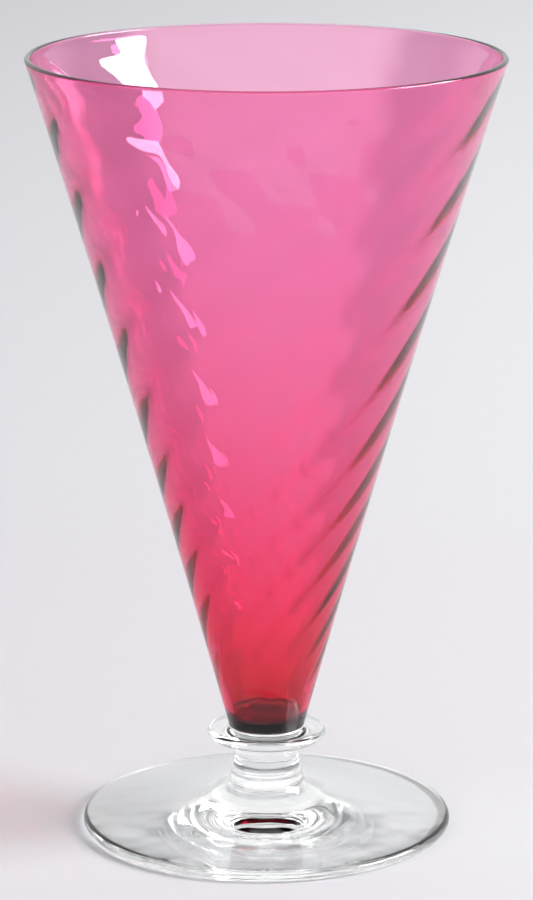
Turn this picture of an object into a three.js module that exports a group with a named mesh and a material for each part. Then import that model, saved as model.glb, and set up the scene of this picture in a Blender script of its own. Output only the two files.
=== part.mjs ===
// Footed tumbler in blown glass.
// A tall cone bowl of ruby glass cased in clear glass, with optic ribs that swirl up its inside wall,
// stands on a clear collar, a short stem and a wide disc foot. The five pieces were fused while hot,
// so each one meets the next face to face.
// Millimetres, +Z up the axis, origin on the table under the middle of the foot.
import * as THREE from "three";

// Foot: a disc with a rounded edge, a hollow underside and a neck that flares out of it
const footRadius = 38;
const footEdgeThickness = 2.3;
const footRestWidth = 4;
const footHollow = 0.4;
const footHeight = 12;
const footNeckRadius = 7.4;
const footNeckBead = 1.2;
const footFlareReach = 13;
const footDiscCrown = 1.8;
const footNeckSlant = 0.9;

// Stem: a short solid spool
const stemLength = 4.6;
const stemEndRadius = 7;
const stemWaistRadius = 6.65;

// Collar: a squeezed ring with a rolled edge, dished where the bowl sits
const collarRadius = 12.2;
const collarHeight = 3.6;
const collarRollRadius = 1;
const collarRollLift = 0.3;
const collarSeatRadius = 7.9;

// Bowl: the outside is a smooth cone with a slight trumpet bow
const bowlHeight = 139.8;
const bowlRimRadius = 48;
const bowlBaseRadius = 7.55;
const bowlBow = 0.7;
const bowlHeel = 0.5;

// Glass layers of the bowl, measured level: low down the ruby is thick and the clear layer over it is thin
const casingRimWall = 0.75;
const casingBaseWall = 0.35;
const casingFloor = 0.5;
const liningRimWall = 0.5;
const liningBaseWall = 1.2;
const liningFloor = 2.2;
const layerGather = 2.5;
const seamCorner = 2.4;
const cupCorner = 1.2;

// Optic ribs: they rise to the right on the near side and turn faster low down, where the gob was thick
const ribCount = 12;
const ribDepthAtLip = 0.34;
const ribDepthAtFloor = 0.62;
const ribTurnUpper = THREE.MathUtils.degToRad(2);
const ribTurnExtra = THREE.MathUtils.degToRad(0.92);
const ribTurnKnee = 60;
const ribTurnBlend = 6;
const ribPhase = THREE.MathUtils.degToRad(5.5);
const ribFadeBelowLip = 8;
const ribFadeAboveFloor = 14;

// Steps that round the faces
const stepsPerRib = 4;
const roundSteps = ribCount * stepsPerRib;
const ribRowStep = 5;
const wallRowStep = 18;
const cornerSteps = 3;
const rollSteps = 6;
const lipSteps = 4;
const curveSteps = 5;
const flareSteps = 9;

// Levels up the axis
const stemBottom = footHeight;
const collarBottom = stemBottom + stemLength;
const bowlBottom = collarBottom + collarHeight;
const bowlTop = bowlBottom + bowlHeight;
const seamFloor = bowlBottom + casingFloor;
const cupFloor = seamFloor + liningFloor;
const lipRadius = (casingRimWall + liningRimWall) / 2;
const lipLevel = bowlTop - lipRadius;

// Share of the way up the bowl's wall, from its base to the level where the lip starts to round over
function wallShare(z) {
  return (z - bowlBottom) / (lipLevel - bowlBottom);
}

// Radius of the bowl's outside at a height: a straight cone, drawn in by the bow at half height
function outsideRadius(z) {
  const share = wallShare(z);
  const straight = THREE.MathUtils.lerp(bowlBaseRadius, bowlRimRadius, share);
  return straight - 4 * bowlBow * share * (1 - share);
}

// Thickness of a glass layer at a height: it goes from its base value to its rim value, quickly at first
function layerWall(z, baseWall, rimWall) {
  return THREE.MathUtils.lerp(rimWall, baseWall, (1 - wallShare(z)) ** layerGather);
}

// Radius where the casing and the lining are fused
function seamRadius(z) {
  return outsideRadius(z) - layerWall(z, casingBaseWall, casingRimWall);
}

// Radius of the cup's inside wall
function cupRadius(z) {
  return seamRadius(z) - layerWall(z, liningBaseWall, liningRimWall);
}

// Turn of the ribs at a height, nought at the lip
function ribTurn(z) {
  const belowKnee = bowlBottom + ribTurnKnee - z;
  const softBelow = ribTurnBlend * Math.log1p(Math.exp(belowKnee / ribTurnBlend));
  return -ribTurnUpper * (lipLevel - z) - ribTurnExtra * softBelow;
}

// Depth of the ribs at a height, fading out at the lip and at the cup's floor
function ribDepthAt(z) {
  const nearLip = THREE.MathUtils.smoothstep(lipLevel - z, 0, ribFadeBelowLip);
  const nearFloor = THREE.MathUtils.smoothstep(z - cupFloor, 0, ribFadeAboveFloor);
  return THREE.MathUtils.lerp(ribDepthAtFloor, ribDepthAtLip, wallShare(z)) * nearLip * nearFloor;
}

// One level ring of points, as many as there are round steps, starting at an angle from the near side
function ring(z, start, radiusAt) {
  const points = [];
  for (let step = 0; step < roundSteps; step++) {
    const angle = start + (step / roundSteps) * 2 * Math.PI;
    const radius = radiusAt(step);
    points.push(new THREE.Vector3(radius * Math.sin(angle), -radius * Math.cos(angle), z));
  }
  return points;
}

// A ring on a smooth face
function smoothRing({ x: radius, y: z }) {
  return ring(z, ribPhase, () => radius);
}

// A ring on a ribbed face: it turns with the ribs, and each rib's crest stands inward
function ribbedRing({ x: radius, y: z }) {
  const depth = ribDepthAt(z);
  return ring(z, ribPhase + ribTurn(z), (step) => {
    const crest = 0.5 + 0.5 * Math.cos((step / stepsPerRib) * 2 * Math.PI);
    return radius - depth * crest;
  });
}

// Profile points round the corner from a floor to a wall, then up the wall to a top level
function floorAndWall(floor, corner, top, rowStep, radiusAt) {
  const wallFoot = floor + corner;
  const points = [];
  for (let step = 0; step <= cornerSteps; step++) {
    const angle = (step / cornerSteps) * (Math.PI / 2);
    const radius = radiusAt(wallFoot) - corner * (1 - Math.sin(angle));
    points.push(new THREE.Vector2(radius, wallFoot - corner * Math.cos(angle)));
  }
  const rows = Math.ceil((top - wallFoot) / rowStep);
  for (let row = 1; row <= rows; row++) {
    const z = THREE.MathUtils.lerp(wallFoot, top, row / rows);
    points.push(new THREE.Vector2(radiusAt(z), z));
  }
  return points;
}

// A closed skin over a run of rings, with each quad cut along its shorter diagonal and flat ends
function skinOverRings(rings) {
  const positions = rings.flat().flatMap((point) => point.toArray());
  const triangles = [];
  const cornerAt = (level, step) => level * roundSteps + (step % roundSteps);
  for (let level = 0; level + 1 < rings.length; level++) {
    for (let step = 0; step < roundSteps; step++) {
      const next = (step + 1) % roundSteps;
      const [a, b] = [cornerAt(level, step), cornerAt(level, next)];
      const [d, c] = [cornerAt(level + 1, step), cornerAt(level + 1, next)];
      const rising = rings[level][step].distanceTo(rings[level + 1][next]);
      const falling = rings[level][next].distanceTo(rings[level + 1][step]);
      triangles.push(...(rising < falling ? [a, b, c, a, c, d] : [a, b, d, b, c, d]));
    }
  }
  const lastLevel = rings.length - 1;
  const firstMiddle = positions.push(0, 0, rings[0][0].z) / 3 - 1;
  const lastMiddle = positions.push(0, 0, rings[lastLevel][0].z) / 3 - 1;
  for (let step = 0; step < roundSteps; step++) {
    triangles.push(firstMiddle, cornerAt(0, step + 1), cornerAt(0, step));
    triangles.push(lastMiddle, cornerAt(lastLevel, step), cornerAt(lastLevel, step + 1));
  }
  const geometry = new THREE.BufferGeometry();
  geometry.setAttribute("position", new THREE.Float32BufferAttribute(positions, 3));
  geometry.setIndex(triangles);
  geometry.computeVertexNormals();
  return geometry;
}

// A point of a turned profile
function at(radius, z) {
  return new THREE.Vector2(radius, z);
}

// Points along a half circle that bulges outward, from its lower end to its upper end
function rolledEdge(radius, z, roll) {
  const curve = new THREE.EllipseCurve(radius, z, roll, roll, -Math.PI / 2, Math.PI / 2);
  return curve.getPoints(rollSteps);
}

// Points along a curve that leaves one point towards a guide and comes into the other from it
function curved(from, guide, to) {
  return new THREE.QuadraticBezierCurve(from, guide, to).getPoints(curveSteps);
}

// A solid turned from a profile that runs up its outside from axis to axis
function turnedSolid(profile) {
  const apart = profile.filter((point, index) => index === 0 || point.distanceTo(profile[index - 1]) > 0);
  return new THREE.LatheGeometry(apart, roundSteps).rotateX(Math.PI / 2);
}

function footGeometry() {
  const edge = footEdgeThickness / 2;
  const restOuter = footRadius - edge;
  const restInner = restOuter - footRestWidth;
  const neckFoot = at(footNeckRadius, footHeight - footNeckBead);
  const flare = new THREE.CubicBezierCurve(
    at(restOuter, footEdgeThickness),
    at(footNeckRadius + footFlareReach, footEdgeThickness + footDiscCrown / 2),
    at(footNeckRadius + footNeckSlant, footEdgeThickness + footDiscCrown),
    neckFoot,
  );
  return turnedSolid([
    ...curved(at(0, footHollow), at(restInner / 2, footHollow), at(restInner, 0)),
    ...rolledEdge(restOuter, edge, edge),
    ...flare.getPoints(flareSteps),
    ...curved(neckFoot, at(footNeckRadius, footHeight), at(stemEndRadius, footHeight)),
    at(0, footHeight),
  ]);
}

function stemGeometry() {
  const waistGuide = at(2 * stemWaistRadius - stemEndRadius, stemBottom + stemLength / 2);
  return turnedSolid([
    at(0, stemBottom),
    ...curved(at(stemEndRadius, stemBottom), waistGuide, at(stemEndRadius, collarBottom)),
    at(0, collarBottom),
  ]);
}

function collarGeometry() {
  const rollMiddle = collarRadius - collarRollRadius;
  const rollLevel = bowlBottom + collarRollLift - collarRollRadius;
  const rollBottom = at(rollMiddle, rollLevel - collarRollRadius);
  const rollTop = at(rollMiddle, rollLevel + collarRollRadius);
  const seatGuide = at((rollMiddle + collarSeatRadius) / 2, bowlBottom);
  return turnedSolid([
    at(0, collarBottom),
    ...curved(at(stemEndRadius, collarBottom), at(stemEndRadius, rollBottom.y), rollBottom),
    ...rolledEdge(rollMiddle, rollLevel, collarRollRadius),
    ...curved(rollTop, seatGuide, at(collarSeatRadius, bowlBottom)),
    at(0, bowlBottom),
  ]);
}

// Profiles of the bowl's three faces, each from the middle of its floor to its top
const outsideProfile = floorAndWall(bowlBottom, bowlHeel, lipLevel, wallRowStep, outsideRadius);
const seamProfile = floorAndWall(seamFloor, seamCorner, lipLevel, ribRowStep, seamRadius);
const cupProfile = floorAndWall(cupFloor, cupCorner, lipLevel, ribRowStep, cupRadius);

// The lip rounds over both layers, from the outside wall to the cup wall, and the seam comes out in it
const seamAngle = Math.acos((lipRadius - casingRimWall) / lipRadius);

// Profile points along the lip's round between two angles, 0 being the outside wall
function lipProfile(from, to) {
  const lipMiddle = bowlRimRadius - lipRadius;
  const lip = new THREE.EllipseCurve(lipMiddle, lipLevel, lipRadius, lipRadius, from, to);
  return lip.getPoints(lipSteps);
}

function casingGeometry() {
  return skinOverRings([
    ...outsideProfile.map(smoothRing),
    ...lipProfile(0, seamAngle).slice(1).map(smoothRing),
    ...seamProfile.toReversed().map(ribbedRing),
  ]);
}

function liningGeometry() {
  return skinOverRings([
    ...seamProfile.map(ribbedRing),
    ...lipProfile(seamAngle, Math.PI).slice(0, -1).map(smoothRing),
    ...cupProfile.toReversed().map(ribbedRing),
  ]);
}

// One named mesh with its glass
function piece(name, geometry, colour) {
  const glass = new THREE.MeshStandardMaterial({ color: colour, roughness: firePolish, metalness: 0 });
  const mesh = new THREE.Mesh(geometry, glass);
  mesh.name = name;
  return mesh;
}

const clearGlass = 0xe4ebeb;
const rubyGlass = 0xc21f56;
const firePolish = 0.05;

const tumbler = new THREE.Group();
tumbler.name = "footed_tumbler";
tumbler.add(
  piece("foot", footGeometry(), clearGlass),
  piece("stem", stemGeometry(), clearGlass),
  piece("collar", collarGeometry(), clearGlass),
  piece("clear_casing", casingGeometry(), clearGlass),
  piece("ruby_lining", liningGeometry(), rubyGlass),
);

export default tumbler;
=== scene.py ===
"""Footed tumbler in blown glass: a swirl-ribbed ruby bowl cased in clear glass on a clear foot."""

import math

import bpy
import numpy as np
from bpy.props import FloatProperty, IntProperty, PointerProperty, StringProperty
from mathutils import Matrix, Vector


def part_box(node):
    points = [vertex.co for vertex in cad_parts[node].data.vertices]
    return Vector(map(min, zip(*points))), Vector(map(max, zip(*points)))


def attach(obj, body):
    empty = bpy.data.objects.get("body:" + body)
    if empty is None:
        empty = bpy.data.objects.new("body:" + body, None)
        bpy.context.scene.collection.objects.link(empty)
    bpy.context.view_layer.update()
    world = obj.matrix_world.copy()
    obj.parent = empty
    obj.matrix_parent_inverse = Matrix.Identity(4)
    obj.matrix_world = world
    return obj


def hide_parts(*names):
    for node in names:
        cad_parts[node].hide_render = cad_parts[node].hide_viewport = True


bl_info = {
    "name": "Footed tumbler",
    "version": (1, 0, 0),
    "blender": (4, 5, 0),
    "location": "3D View > Sidebar > Tumbler",
    "description": "Builds a footed tumbler of ruby and clear glass on a pale studio floor",
    "category": "Add Mesh",
}

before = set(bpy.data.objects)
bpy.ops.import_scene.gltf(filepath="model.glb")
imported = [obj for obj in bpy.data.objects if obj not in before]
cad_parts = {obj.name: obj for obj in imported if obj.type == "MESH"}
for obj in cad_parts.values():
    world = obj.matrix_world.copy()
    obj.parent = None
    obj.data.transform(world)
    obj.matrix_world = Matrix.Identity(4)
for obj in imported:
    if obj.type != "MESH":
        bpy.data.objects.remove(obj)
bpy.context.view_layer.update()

# Levels and radii that the solids give
MM = 0.001
casing_low, casing_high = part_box("clear_casing")
collar_low, collar_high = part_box("collar")
stem_low, stem_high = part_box("stem")
foot_low, foot_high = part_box("foot")


# Properties


def length(name, description, millimetres):
    """A length property with its default in millimetres."""
    return FloatProperty(
        name=name, description=description, default=millimetres * MM, unit="LENGTH", precision=5
    )


def turn(name, description, degrees):
    """An angle property with its default in degrees."""
    return FloatProperty(
        name=name, description=description, default=math.radians(degrees), unit="ROTATION"
    )


def amount(name, description, value):
    """A plain number property."""
    return FloatProperty(name=name, description=description, default=value, precision=4)


def colour(name, description, hex_value):
    """A colour property that holds an sRGB hex value."""
    return StringProperty(name=name, description=description, default=hex_value)


class BowlSizes(bpy.types.PropertyGroup):
    """Sizes of the cased bowl and its optic ribs"""

    rim_radius: length("Rim radius", "Outside radius under the rounded lip", casing_high[0] / MM)
    base_radius: length("Base radius", "Outside radius of the cone carried down to its base", 7.55)
    bow: length("Bow", "How far the wall is drawn in from a straight cone at half height", 0.7)
    heel: length("Heel", "Rounding between the bowl's wall and its base", 0.5)
    casing_rim: length("Casing at the rim", "Clear layer at the rim", 0.75)
    casing_base: length("Casing at the base", "Clear layer at the base", 0.35)
    casing_floor: length("Casing floor", "Clear layer under the ruby floor", 0.5)
    lining_rim: length("Lining at the rim", "Ruby layer at the rim", 0.5)
    lining_base: length("Lining at the base", "Ruby layer at the base", 1.2)
    lining_floor: length("Lining floor", "Ruby layer under the cup", 2.2)
    seam_corner: length("Seam corner", "Rounding under the ruby floor", 2.4)
    cup_corner: length("Cup corner", "Rounding between the cup's wall and floor", 1.2)
    gather: amount("Gather", "How soon the layers thin out above the base", 2.5)
    seam_gap: length("Seam gap", "Hair gap that keeps the two fused faces apart", 0.01)
    rib_count: IntProperty(name="Ribs", description="Optic ribs round the cup", default=12, min=3)
    rib_depth_lip: length("Rib depth at the lip", "Crest to trough, carried up to the lip", 0.2)
    rib_depth_floor: length("Rib depth at the floor", "Crest to trough, carried down to the floor", 0.58)
    rib_turn: amount("Rib turn", "Turn of the ribs for each millimetre of height, in degrees", 2.0)
    rib_extra_turn: amount("Extra turn", "Turn added low down, in degrees a millimetre", 0.92)
    rib_knee: length("Rib knee", "Height above the base below which the extra turn is added", 60)
    rib_blend: length("Rib blend", "Height over which the extra turn comes in", 6)
    rib_phase: turn("Rib phase", "Where the first rib meets the lip, from the near side", 5.5)
    rib_fade_lip: length("Fade at the lip", "Height over which the ribs fade out below the lip", 8)
    rib_fade_floor: length("Fade at the floor", "Height over which the ribs fade in above the floor", 34)


class CollarSizes(bpy.types.PropertyGroup):
    """Sizes of the collar and the stem"""

    collar_radius: length("Collar radius", "Outside radius of the rolled edge", collar_high[0] / MM)
    roll: length("Roll", "Radius of the rolled edge", 1.0)
    roll_lift: length("Roll lift", "How far the roll stands over the seat", 0.3)
    seat: length("Seat", "Radius of the flat that the bowl stands on", 7.9)
    stem_end: length("Stem end", "Radius of the stem where it meets the collar and the foot", 7.0)
    stem_waist: length("Stem waist", "Radius of the stem at half height", 6.65)


class FootSizes(bpy.types.PropertyGroup):
    """Sizes of the disc foot"""

    edge: length("Edge", "Thickness of the rounded edge", 2.3)
    rest_width: length("Rest width", "Width of the flat ring that touches the table", 4)
    hollow: length("Hollow", "Rise of the underside at its middle", 0.4)
    neck_radius: length("Neck radius", "Radius of the neck under its bead", 7.4)
    neck_bead: length("Neck bead", "Height of the bead under the stem", 1.2)
    flare_reach: length("Flare reach", "How far out the flare runs into the disc", 13)
    crown: length("Crown", "Rise of the disc's top towards the neck", 1.8)
    neck_slant: length("Neck slant", "How far the neck leans out at its foot", 0.9)


class GlassLook(bpy.types.PropertyGroup):
    """Colours and finish of the glass"""

    clear: colour("Clear glass", "Tint of the clear glass", "#FBFDFC")
    ruby: colour("Ruby body", "Light that the ruby lets through", "#FC00BE")
    ruby_density: amount("Ruby density", "Strength of the ruby's absorption, for each metre", 1650)
    base: colour("Ruby base", "Light that the thick ruby base lets through", "#940070")
    base_density: amount("Base density", "Strength of the base's absorption, for each metre", 900)
    # Painted shade: the share kept by light that crosses the ruby's seam at a grazing slant, which
    # darkens the streaks near the bowl's edges
    painted_grazing_shade: amount("Guided light", "Share of the light running along the wall that comes out again", 0.66)
    ripple_size: length("Ripple size", "Width of the ripples left by hand work", 9)
    ripple_depth: length("Ripple depth", "Depth of the ripples left by hand work", 0.12)
    ior: amount("Index", "Index of refraction of soda-lime glass", 1.51)


class StageLook(bpy.types.PropertyGroup):
    """The pale floor and the studio light"""

    paper: colour("Paper", "Colour of the floor", "#D4D4D8")
    # Painted shade: the paper's colour is scaled by these shares, darker to the left, away from the
    # softbox at the right
    painted_shade_left: amount("Paper at the left", "Share of its colour half a metre to the left", 0.765)
    painted_shade_right: amount("Paper at the right", "Share of its colour half a metre to the right", 0.963)
    fibre: length("Fibre", "Size of the paper's faint mottling", 4)
    mottle: amount("Mottle", "Share by which the paper's mottling is darker or lighter", 0.015)
    floor_half: length("Floor half", "Half the width of the floor", 12000)
    floor_drop: length("Floor drop", "Hair gap between the floor and the foot", 0.05)
    softbox: amount("Softbox", "Radiance of the softbox at the right", 22.0)
    softbox_width: length("Softbox width", "Width of the softbox", 1800)
    softbox_height: length("Softbox height", "Height of the softbox", 870)
    softbox_reach: length("Softbox reach", "Distance of the softbox from the glass", 2600)
    softbox_azimuth: turn("Softbox azimuth", "Turn of the softbox from the right towards the back", -2)
    softbox_rise: turn("Softbox rise", "Rise of the softbox above the glass", 29.5)
    softbox_aim: length("Softbox aim", "Height on the axis that the softbox faces", 90)
    overhead: amount("Overhead", "Brightness of the ceiling light", 0.1)
    wall: amount("Wall", "Brightness of the wall behind", 0.95)
    front: amount("Front", "Brightness of the room in front", 3.1)
    room: amount("Room", "Brightness of the room at the sides", 0.15)
    lens: amount("Lens", "Focal length in millimetres, for a 36 mm sensor", 153.45)
    camera_back: length("Camera distance", "Distance of the camera in front of the glass", 756.11)
    camera_height: length("Camera height", "Height of the camera above the table", 269.15)
    camera_tilt: turn("Camera tilt", "How far the camera looks down", 14.097)


# Shapes


def blend_step(value):
    """A smooth step from 0 to 1."""
    share = min(max(value, 0.0), 1.0)
    return share * share * (3 - 2 * share)


def arc(middle, radius, start, end, steps):
    """Profile points along an arc, with angles in degrees from the outward direction."""
    angles = [math.radians(start + (end - start) * step / steps) for step in range(steps + 1)]
    return [(middle[0] + radius * math.cos(a), middle[1] + radius * math.sin(a)) for a in angles]


def bezier(points, steps):
    """Profile points along a Bezier curve with two, three or four control points."""
    curve = []
    for step in range(steps + 1):
        share = step / steps
        row = [np.array(point) for point in points]
        while len(row) > 1:
            row = [a + (b - a) * share for a, b in zip(row, row[1:])]
        curve.append(tuple(row[0]))
    return curve


def smooth_ring(point, columns):
    """A level ring of points, or the one point on the axis."""
    radius, height = point
    if radius <= 0:
        return np.array([[0.0, 0.0, height]])
    angles = np.arange(columns) * (2 * math.pi / columns)
    return np.column_stack([radius * np.sin(angles), -radius * np.cos(angles), np.full(columns, height)])


def skin(name, stretches):
    """A closed smooth mesh over runs of rings, each (rings, fused) and starting where the last ended."""
    rings = []
    fused_bands = []
    for run, fused in stretches:
        start = 1 if rings else 0
        rings.extend(run[start:])
        fused_bands.extend([fused] * (len(run) - 1))
    starts = np.cumsum([0] + [len(ring) for ring in rings])
    faces = []
    fused_faces = []
    for band, fused in enumerate(fused_bands):
        low, high = starts[band], starts[band + 1]
        low_count, high_count = len(rings[band]), len(rings[band + 1])
        columns = max(low_count, high_count)
        for column in range(columns):
            following = (column + 1) % columns
            corners = [low + column % low_count, low + following % low_count]
            corners += [high + following % high_count, high + column % high_count]
            faces.append(list(dict.fromkeys(int(corner) for corner in corners)))
        fused_faces.extend([fused] * columns)
    mesh = bpy.data.meshes.new(name)
    mesh.from_pydata(np.concatenate(rings).tolist(), [], faces)
    mesh.polygons.foreach_set("material_index", [int(fused) for fused in fused_faces])
    mesh.shade_smooth()
    mesh.set_sharp_from_angle(angle=math.radians(32))
    mesh.validate()
    piece = bpy.data.objects.new(name, mesh)
    bpy.context.scene.collection.objects.link(piece)
    return piece


def dress(piece, node, materials):
    """Give a piece its materials, and let it stand for a CAD node on the one rigid body."""
    for material in materials:
        piece.data.materials.append(material)
    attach(piece, "root")
    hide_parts(node)


# Bowl


class BowlShape:
    """The bowl's three faces, worked out from its sizes"""

    columns_per_rib = 20
    row_height = 1.2 * MM
    corner_steps = 10

    def __init__(self, sizes):
        self.sizes = sizes
        self.columns = sizes.rib_count * self.columns_per_rib
        self.bottom = casing_low[2]
        self.top = casing_high[2]
        self.lip_radius = (sizes.casing_rim + sizes.lining_rim) / 2
        self.lip_level = self.top - self.lip_radius
        self.seam_angle = math.degrees(math.acos(1 - sizes.casing_rim / self.lip_radius))
        self.seam_floor = self.bottom + sizes.casing_floor
        self.cup_floor = self.seam_floor + sizes.lining_floor

    def share(self, height):
        return (height - self.bottom) / (self.lip_level - self.bottom)

    def outside(self, height):
        share = self.share(height)
        straight = self.sizes.base_radius + (self.sizes.rim_radius - self.sizes.base_radius) * share
        return straight - 4 * self.sizes.bow * share * (1 - share)

    def base_flat(self):
        """Radius of the flat under the bowl, inside its heel."""
        return self.outside(self.bottom + self.sizes.heel) - self.sizes.heel

    def layer(self, height, base, rim):
        """Thickness of a layer that thins out quickly above the base."""
        low = max(1 - self.share(height), 0.0) ** self.sizes.gather
        return base * low + rim * (1 - low)

    def seam(self, height):
        return self.outside(height) - self.layer(height, self.sizes.casing_base, self.sizes.casing_rim)

    def cup(self, height):
        return self.seam(height) - self.layer(height, self.sizes.lining_base, self.sizes.lining_rim)

    def rib_turn(self, height):
        sizes = self.sizes
        below = (self.bottom + sizes.rib_knee - height) / sizes.rib_blend
        soft_below = sizes.rib_blend * math.log1p(math.exp(below))
        degrees = -sizes.rib_turn * (self.lip_level - height) - sizes.rib_extra_turn * soft_below
        return math.radians(degrees / MM) + sizes.rib_phase

    def rib_depth(self, height):
        near_lip = blend_step((self.lip_level - height) / self.sizes.rib_fade_lip)
        near_floor = blend_step((height - self.cup_floor) / self.sizes.rib_fade_floor)
        share = self.share(height)
        depth = self.sizes.rib_depth_floor * (1 - share) + self.sizes.rib_depth_lip * share
        return depth * near_lip * near_floor

    def ribbed_ring(self, point):
        """A level ring whose ribs stand inward, in fixed columns."""
        radius, height = point
        if radius <= 0:
            return smooth_ring(point, self.columns)
        angles = np.arange(self.columns) * (2 * math.pi / self.columns)
        phases = self.sizes.rib_count * (angles - self.rib_turn(height))
        crests = 0.5 + 0.5 * np.cos(phases)
        radii = radius - self.rib_depth(height) * crests
        return np.column_stack(
            [radii * np.sin(angles), -radii * np.cos(angles), np.full(self.columns, height)]
        )

    def wall(self, floor, corner, top, radius_at):
        """Profile points from the axis along a floor, round its corner and up the wall."""
        foot = floor + corner
        middle = (radius_at(foot) - corner, foot)
        points = [(0.0, floor), *arc(middle, corner, -90, 0, self.corner_steps)]
        rows = math.ceil((top - foot) / self.row_height)
        heights = [foot + (top - foot) * row / rows for row in range(1, rows + 1)]
        return points + [(radius_at(height), height) for height in heights]

    def outside_rings(self):
        points = self.wall(self.bottom, self.sizes.heel, self.lip_level, self.outside)
        return [smooth_ring(point, self.columns) for point in points]

    def lip_rings(self, start, end, gap):
        """Rings along part of the lip's round, from the outside at 0 to the cup at 180 degrees."""
        middle = (self.sizes.rim_radius - self.lip_radius, self.lip_level)
        points = arc(middle, self.lip_radius, start, end, self.corner_steps)
        return [smooth_ring((radius - gap, height), self.columns) for radius, height in points]

    def seam_rings(self, gap):
        points = self.wall(
            self.seam_floor + gap,
            self.sizes.seam_corner,
            self.lip_level,
            lambda height: self.seam(height) - gap,
        )
        return [self.ribbed_ring(point) for point in points]

    def cup_rings(self):
        points = self.wall(self.cup_floor, self.sizes.cup_corner, self.lip_level, self.cup)
        return [self.ribbed_ring(point) for point in points]


class TUMBLER_OT_casing(bpy.types.Operator):
    """Build the clear outer layer of the bowl, from its base to the rounded lip"""

    bl_idname = "tumbler.casing"
    bl_label = "Clear casing"

    def execute(self, context):
        shape = BowlShape(context.scene.tumbler_bowl)
        outside = shape.outside_rings()
        lip = shape.lip_rings(0, shape.seam_angle, 0)
        seam_down = shape.seam_rings(0)[::-1]
        piece = skin(
            "clear_casing_glass",
            [
                (outside[:2], True),
                (outside[1:] + lip[1:], False),
                ([lip[-1]] + seam_down, True),
            ],
        )
        dress(piece, "clear_casing", [clear_glass(context), fused_seam()])
        return {"FINISHED"}


class TUMBLER_OT_lining(bpy.types.Operator):
    """Build the ruby inner layer of the bowl, with the ribs that swirl up the cup"""

    bl_idname = "tumbler.lining"
    bl_label = "Ruby lining"

    def execute(self, context):
        look = context.scene.tumbler_glass
        gap = context.scene.tumbler_bowl.seam_gap
        shape = BowlShape(context.scene.tumbler_bowl)
        seam = shape.seam_rings(gap)
        cup = shape.cup_rings()
        lip = shape.lip_rings(shape.seam_angle, 180, gap)
        # The wall and the thick base are separate skins, because each has its own depth of colour
        cup_turn = shape.corner_steps + 1
        seam_turn = next(place for place, ring in enumerate(seam) if ring[0][2] >= cup[cup_turn][0][2])
        wall = skin(
            "ruby_wall_glass",
            [
                ([cup[cup_turn]] + seam[seam_turn:] + [lip[0]], True),
                (lip[:-1] + cup[cup_turn:][::-1], False),
            ],
        )
        seam_low = seam[: seam_turn + 1]
        cup_low = cup[: cup_turn + 1]
        seam_low[-1] = seam_low[-1] - (0, 0, gap)
        cup_low[-1] = cup_low[-1] - (0, 0, gap)
        base = skin("ruby_base_glass", [(seam_low + [cup_low[-1]], True), (cup_low[::-1], False)])
        blown = ruby_glass(context, "Gold ruby glass, blown thin", look.ruby, look.ruby_density)
        thick = ruby_glass(context, "Gold ruby glass, thick base", look.base, look.base_density)
        for piece, material in ((wall, blown), (base, thick)):
            fused = piece.data.attributes.new("fused", "FLOAT", "FACE")
            marks = np.zeros(len(piece.data.polygons), dtype=np.int32)
            piece.data.polygons.foreach_get("material_index", marks)
            fused.data.foreach_set("value", marks.astype(np.float32))
            piece.data.polygons.foreach_set("material_index", np.zeros_like(marks))
            dress(piece, "ruby_lining", [material])
        return {"FINISHED"}


# Collar, stem and foot


class TUMBLER_OT_collar(bpy.types.Operator):
    """Build the collar with its rolled edge, and the short stem under it"""

    bl_idname = "tumbler.collar"
    bl_label = "Collar and stem"

    def execute(self, context):
        sizes = context.scene.tumbler_collar
        seat_radius = BowlShape(context.scene.tumbler_bowl).base_flat()
        bottom = collar_low[2]
        top = casing_low[2]
        roll_middle = (sizes.collar_radius - sizes.roll, top + sizes.roll_lift - sizes.roll)
        roll_low = (roll_middle[0], roll_middle[1] - sizes.roll)
        roll_high = (roll_middle[0], roll_middle[1] + sizes.roll)
        seat_edge = (sizes.seat, top)
        open_points = bezier([(sizes.stem_end, bottom), (sizes.stem_end, roll_low[1]), roll_low], 14)
        open_points += arc(roll_middle, sizes.roll, -90, 90, 24)[1:]
        open_points += bezier([roll_high, ((roll_middle[0] + sizes.seat) / 2, top), seat_edge], 14)[1:]
        open_points += [(seat_radius, top)]
        turned_piece(
            context,
            "collar_glass",
            "collar",
            [
                ([(0, bottom), open_points[0]], True),
                (open_points, False),
                ([open_points[-1], (0, top)], True),
            ],
        )
        low = (sizes.stem_end, stem_low[2])
        high = (sizes.stem_end, stem_high[2])
        guide = (2 * sizes.stem_waist - sizes.stem_end, (low[1] + high[1]) / 2)
        side = bezier([low, guide, high], 16)
        turned_piece(
            context,
            "stem_glass",
            "stem",
            [([(0, low[1]), low], True), (side, False), ([high, (0, high[1])], True)],
        )
        return {"FINISHED"}


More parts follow.
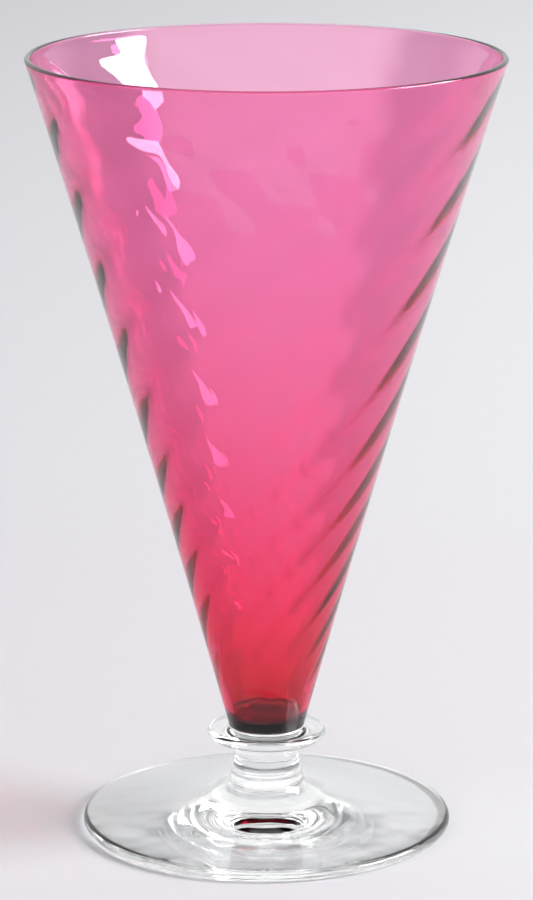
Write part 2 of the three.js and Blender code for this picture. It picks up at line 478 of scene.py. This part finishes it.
class TUMBLER_OT_foot(bpy.types.Operator):
    """Build the disc foot with its rounded edge, hollow underside and flared neck"""

    bl_idname = "tumbler.foot"
    bl_label = "Foot"

    def execute(self, context):
        sizes = context.scene.tumbler_foot
        stem_end = context.scene.tumbler_collar.stem_end
        edge = sizes.edge / 2
        rest_outer = foot_high[0] - edge
        rest_inner = rest_outer - sizes.rest_width
        top = foot_high[2]
        neck = (sizes.neck_radius, top - sizes.neck_bead)
        points = bezier([(0, sizes.hollow), (rest_inner / 2, sizes.hollow), (rest_inner, 0)], 24)
        points += [(rest_outer, 0)]
        points += arc((rest_outer, edge), edge, -90, 90, 24)[1:]
        points += bezier(
            [
                points[-1],
                (sizes.neck_radius + sizes.flare_reach, sizes.edge + sizes.crown / 2),
                (sizes.neck_radius + sizes.neck_slant, sizes.edge + sizes.crown),
                neck,
            ],
            40,
        )[1:]
        points += bezier([neck, (sizes.neck_radius, top), (stem_end, top)], 10)[1:]
        turned_piece(context, "foot_glass", "foot", [(points, False), ([points[-1], (0, top)], True)])
        return {"FINISHED"}


def turned_piece(context, name, node, stretches):
    """A clear piece turned from stretches of profile points."""
    columns = 192
    rings = [([smooth_ring(point, columns) for point in points], fused) for points, fused in stretches]
    piece = skin(name, rings)
    dress(piece, node, [clear_glass(context), fused_seam()])
    return piece


# Materials


def linear(hex_value):
    """An sRGB hex colour as linear RGBA."""
    channels = [int(hex_value[place : place + 2], 16) / 255 for place in (1, 3, 5)]
    return [c / 12.92 if c <= 0.04045 else ((c + 0.055) / 1.055) ** 2.4 for c in channels] + [1.0]


def node(tree, kind, settings=None, links=None):
    """Add a node, set its attributes and sockets, and link its inputs."""
    made = tree.nodes.new(kind)
    for key, value in (settings or {}).items():
        if key in made.inputs:
            made.inputs[key].default_value = value
        else:
            setattr(made, key, value)
    for key, source in (links or {}).items():
        tree.links.new(source, made.inputs[key])
    return made


def blank(name):
    """A material with an empty node tree, or the one made before."""
    material = bpy.data.materials.get(name)
    if material:
        return material, None
    material = bpy.data.materials.new(name)
    material.use_nodes = True
    material.node_tree.nodes.clear()
    return material, material.node_tree


def clear_glass(context):
    """Fire-polished soda-lime glass: bright, colourless, with the faint ripple of hand work."""
    look = context.scene.tumbler_glass
    material, tree = blank("Soda-lime glass, fire polished")
    if tree is None:
        return material
    place = node(tree, "ShaderNodeTexCoord")
    ripple = node(
        tree,
        "ShaderNodeTexNoise",
        {"Scale": 1.0 / look.ripple_size, "Detail": 1.0},
        {"Vector": place.outputs["Object"]},
    )
    hand_work = node(
        tree,
        "ShaderNodeBump",
        {"Strength": 1.0, "Distance": look.ripple_depth},
        {"Height": ripple.outputs[0]},
    )
    surface = node(
        tree,
        "ShaderNodeBsdfPrincipled",
        {
            "Base Color": linear(look.clear),
            "Roughness": 0.0,
            "IOR": look.ior,
            "Transmission Weight": 1.0,
        },
        {"Normal": hand_work.outputs[0]},
    )
    node(tree, "ShaderNodeOutputMaterial", links={"Surface": surface.outputs[0]})
    return material


def fused_seam():
    """Hot-fused joint: the two glasses ran together, so light goes straight through it."""
    material, tree = blank("Fused glass joint")
    if tree is None:
        return material
    surface = node(tree, "ShaderNodeBsdfTransparent", {"Color": (1, 1, 1, 1)})
    node(tree, "ShaderNodeOutputMaterial", links={"Surface": surface.outputs[0]})
    return material


# Tint of the ruby face at shares of the bowl's height: the thin wall is clear, the base deepens
RUBY_TINTS = (
    (0.03, "#BC6145"),
    (0.06, "#D17E5D"),
    (0.11, "#E8977C"),
    (0.19, "#FDC0B5"),
    (0.34, "#FFE8DA"),
    (0.48, "#FFFFEF"),
    (0.75, "#FFFFFF"),
)


def ruby_glass(context, name, body_colour, density):
    """Gold ruby glass: lilac pink where it is thin and deep red where it is thick."""
    look = context.scene.tumbler_glass
    material, tree = blank(name)
    if tree is None:
        return material
    place = node(tree, "ShaderNodeTexCoord")
    parts = node(tree, "ShaderNodeSeparateXYZ", links={0: place.outputs["Object"]})
    height = node(
        tree,
        "ShaderNodeMapRange",
        {"From Min": casing_low[2], "From Max": casing_high[2]},
        {"Value": parts.outputs["Z"]},
    )
    depth = node(tree, "ShaderNodeValToRGB", links={"Fac": height.outputs[0]})
    ramp = depth.color_ramp.elements
    while len(ramp) < len(RUBY_TINTS):
        ramp.new(1.0)
    for element, (position, shade) in zip(ramp, RUBY_TINTS):
        element.position = position
        element.color = linear(shade)
    polished = node(
        tree,
        "ShaderNodeBsdfPrincipled",
        {"Roughness": 0.0, "IOR": look.ior, "Transmission Weight": 1.0},
        {"Base Color": depth.outputs[0]},
    )
    # Painted shade: light that crosses the seam past the angle of total reflection, the light that stays
    # in the wall, is dimmed by a set share on each crossing, on top of the ruby's own absorption, which
    # darkens the streaks near the bowl's edges
    limit = 1 - math.sqrt(1 - 1 / look.ior**2)
    soft_edge = 0.04
    slant = node(tree, "ShaderNodeLayerWeight", {"Blend": 0.5})
    painted_grazing_shade = node(
        tree,
        "ShaderNodeMapRange",
        {"From Min": limit, "From Max": limit + soft_edge, "To Min": 1.0, "To Max": look.painted_grazing_shade},
        {"Value": slant.outputs["Facing"]},
    )
    seam = node(tree, "ShaderNodeBsdfTransparent", links={"Color": painted_grazing_shade.outputs[0]})
    fused = node(tree, "ShaderNodeAttribute", {"attribute_name": "fused"})
    surface = node(
        tree,
        "ShaderNodeMixShader",
        links={0: fused.outputs["Fac"], 1: polished.outputs[0], 2: seam.outputs[0]},
    )
    body = node(
        tree,
        "ShaderNodeVolumeAbsorption",
        {"Color": linear(body_colour), "Density": density},
    )
    node(
        tree,
        "ShaderNodeOutputMaterial",
        links={"Surface": surface.outputs[0], "Volume": body.outputs[0]},
    )
    return material


def studio_paper(context):
    """Matte studio paper, pressed: pale, slightly cool, with no shine and a faint mottle, and painted
    shade that darkens it towards the left, away from the softbox at the right.
    """
    look = context.scene.tumbler_stage
    material, tree = blank("Studio paper, matte")
    if tree is None:
        return material
    place = node(tree, "ShaderNodeTexCoord")
    parts = node(tree, "ShaderNodeSeparateXYZ", links={0: place.outputs["Object"]})
    # Painted shade: the paper's colour is scaled down towards the left, where less of the softbox's light
    # falls
    painted_side_shade = node(
        tree,
        "ShaderNodeMapRange",
        {"From Min": -0.5, "From Max": 0.5, "To Min": look.painted_shade_left, "To Max": look.painted_shade_right},
        {"Value": parts.outputs["X"]},
    )
    fibre = node(
        tree,
        "ShaderNodeTexNoise",
        {"Scale": 1.0 / look.fibre, "Detail": 3.0},
        {"Vector": place.outputs["Object"]},
    )
    mottle = node(
        tree,
        "ShaderNodeMapRange",
        {"To Min": 1 - look.mottle, "To Max": 1 + look.mottle},
        {"Value": fibre.outputs[0]},
    )
    shade = node(
        tree, "ShaderNodeMath", {"operation": "MULTIPLY"}, {0: painted_side_shade.outputs[0], 1: mottle.outputs[0]}
    )
    tone = node(
        tree,
        "ShaderNodeVectorMath",
        {"operation": "SCALE"},
        {"Scale": shade.outputs[0]},
    )
    tone.inputs[0].default_value = linear(look.paper)[:3]
    surface = node(tree, "ShaderNodeBsdfDiffuse", links={"Color": tone.outputs[0]})
    node(tree, "ShaderNodeOutputMaterial", links={"Surface": surface.outputs[0]})
    return material


# Stage


class TUMBLER_OT_stage(bpy.types.Operator):
    """Set up the pale floor, the studio light and the camera"""

    bl_idname = "tumbler.stage"
    bl_label = "Stage"

    def execute(self, context):
        self.floor(context)
        self.world(context)
        self.softbox(context)
        self.camera(context)
        scene = context.scene
        scene.view_settings.view_transform = "Standard"
        # Light turns many times inside the wall and the foot before it leaves, and stays sharp
        scene.cycles.blur_glossy = 0.0
        scene.cycles.sample_clamp_indirect = 0.0
        scene.cycles.max_bounces = 48
        scene.cycles.glossy_bounces = 12
        scene.cycles.transmission_bounces = 48
        scene.cycles.transparent_max_bounces = 96
        return {"FINISHED"}

    def floor(self, context):
        """A wide level sheet of paper, just under the foot."""
        look = context.scene.tumbler_stage
        half = look.floor_half
        drop = -look.floor_drop
        mesh = bpy.data.meshes.new("floor")
        corners = [(-half, -half, drop), (half, -half, drop), (half, half, drop), (-half, half, drop)]
        mesh.from_pydata(corners, [], [(0, 1, 2, 3)])
        floor = bpy.data.objects.new("floor", mesh)
        context.scene.collection.objects.link(floor)
        mesh.materials.append(studio_paper(context))

    def world(self, context):
        """A plain white room: dim at the sides, brighter in front and behind."""
        look = context.scene.tumbler_stage
        world = bpy.data.worlds.new("Studio room")
        context.scene.world = world
        world.use_nodes = True
        tree = world.node_tree
        tree.nodes.clear()
        place = node(tree, "ShaderNodeTexCoord")
        parts = node(tree, "ShaderNodeSeparateXYZ", links={0: place.outputs["Generated"]})
        # Each fade runs along one axis of the view direction, from one level to another
        spread = (
            ("ceiling", "Z", 0.25, 0.75, look.room, look.overhead),
            ("behind", "Y", 0.2, 0.7, 0.0, look.wall),
            ("in front", "Y", -0.1, -0.5, 0.0, look.front),
            ("below the ceiling", "Z", 0.75, 0.45, 0.0, 1.0),
        )
        fades = {}
        for name, axis, near, far, first, last in spread:
            fades[name] = node(
                tree,
                "ShaderNodeMapRange",
                {
                    "interpolation_type": "SMOOTHSTEP",
                    "From Min": near,
                    "From Max": far,
                    "To Min": first,
                    "To Max": last,
                },
                {"Value": parts.outputs[axis]},
            ).outputs[0]
        low_front = node(
            tree,
            "ShaderNodeMath",
            {"operation": "MULTIPLY"},
            {0: fades["in front"], 1: fades["below the ceiling"]},
        )
        ends = node(
            tree,
            "ShaderNodeMath",
            {"operation": "MAXIMUM"},
            {0: low_front.outputs[0], 1: fades["behind"]},
        )
        level = node(
            tree, "ShaderNodeMath", {"operation": "MAXIMUM"}, {0: fades["ceiling"], 1: ends.outputs[0]}
        )
        light = node(
            tree, "ShaderNodeBackground", {"Color": (1, 1, 1, 1)}, {"Strength": level.outputs[0]}
        )
        node(tree, "ShaderNodeOutputWorld", links={"Surface": light.outputs[0]})

    def softbox(self, context):
        """One large softbox at the right, aimed at the middle of the bowl."""
        look = context.scene.tumbler_stage
        lamp = bpy.data.lights.new("softbox", "AREA")
        lamp.shape = "RECTANGLE"
        lamp.size = look.softbox_width
        lamp.size_y = look.softbox_height
        # A flat lamp's power is its radiance times pi times its area
        lamp.energy = look.softbox * math.pi * lamp.size * lamp.size_y
        holder = bpy.data.objects.new("softbox", lamp)
        context.scene.collection.objects.link(holder)
        azimuth = look.softbox_azimuth
        elevation = look.softbox_rise
        aim = np.array([0.0, 0.0, look.softbox_aim])
        out = np.array(
            [
                math.cos(elevation) * math.cos(azimuth),
                math.cos(elevation) * math.sin(azimuth),
                math.sin(elevation),
            ]
        )
        holder.location = aim + out * look.softbox_reach
        holder.rotation_euler = (math.pi / 2 - elevation, 0, azimuth + math.pi / 2)

    def camera(self, context):
        """The camera at the photograph's viewpoint, with everything sharp."""
        look = context.scene.tumbler_stage
        data = bpy.data.cameras.new("camera")
        data.sensor_width = 36.0
        data.lens = look.lens
        holder = bpy.data.objects.new("camera", data)
        holder.location = (0.0, -look.camera_back, look.camera_height)
        holder.rotation_euler = (math.pi / 2 - look.camera_tilt, 0, 0)
        context.scene.collection.objects.link(holder)
        context.scene.camera = holder


class TUMBLER_PT_panel(bpy.types.Panel):
    """Buttons that build the tumbler piece by piece, and its settings"""

    bl_idname = "TUMBLER_PT_panel"
    bl_label = "Footed tumbler"
    bl_space_type = "VIEW_3D"
    bl_region_type = "UI"
    bl_category = "Tumbler"

    def draw(self, context):
        for step in BUILD_STEPS:
            self.layout.operator(step.bl_idname)
        for name, group in SETTINGS.items():
            box = self.layout.box()
            box.label(text=group.__doc__)
            for setting in group.__annotations__:
                box.prop(getattr(context.scene, name), setting)


BUILD_STEPS = (
    TUMBLER_OT_foot,
    TUMBLER_OT_collar,
    TUMBLER_OT_casing,
    TUMBLER_OT_lining,
    TUMBLER_OT_stage,
)
SETTINGS = {
    "tumbler_bowl": BowlSizes,
    "tumbler_collar": CollarSizes,
    "tumbler_foot": FootSizes,
    "tumbler_glass": GlassLook,
    "tumbler_stage": StageLook,
}


def register():
    for group in SETTINGS.values():
        bpy.utils.register_class(group)
    for name, group in SETTINGS.items():
        setattr(bpy.types.Scene, name, PointerProperty(type=group))
    for step in BUILD_STEPS:
        bpy.utils.register_class(step)
    bpy.utils.register_class(TUMBLER_PT_panel)


def unregister():
    bpy.utils.unregister_class(TUMBLER_PT_panel)
    for step in reversed(BUILD_STEPS):
        bpy.utils.unregister_class(step)
    for name in SETTINGS:
        delattr(bpy.types.Scene, name)
    for group in SETTINGS.values():
        bpy.utils.unregister_class(group)


def main():
    register()
    bpy.ops.tumbler.foot()
    bpy.ops.tumbler.collar()
    bpy.ops.tumbler.casing()
    bpy.ops.tumbler.lining()
    bpy.ops.tumbler.stage()


if __name__ == "__main__":
    main()
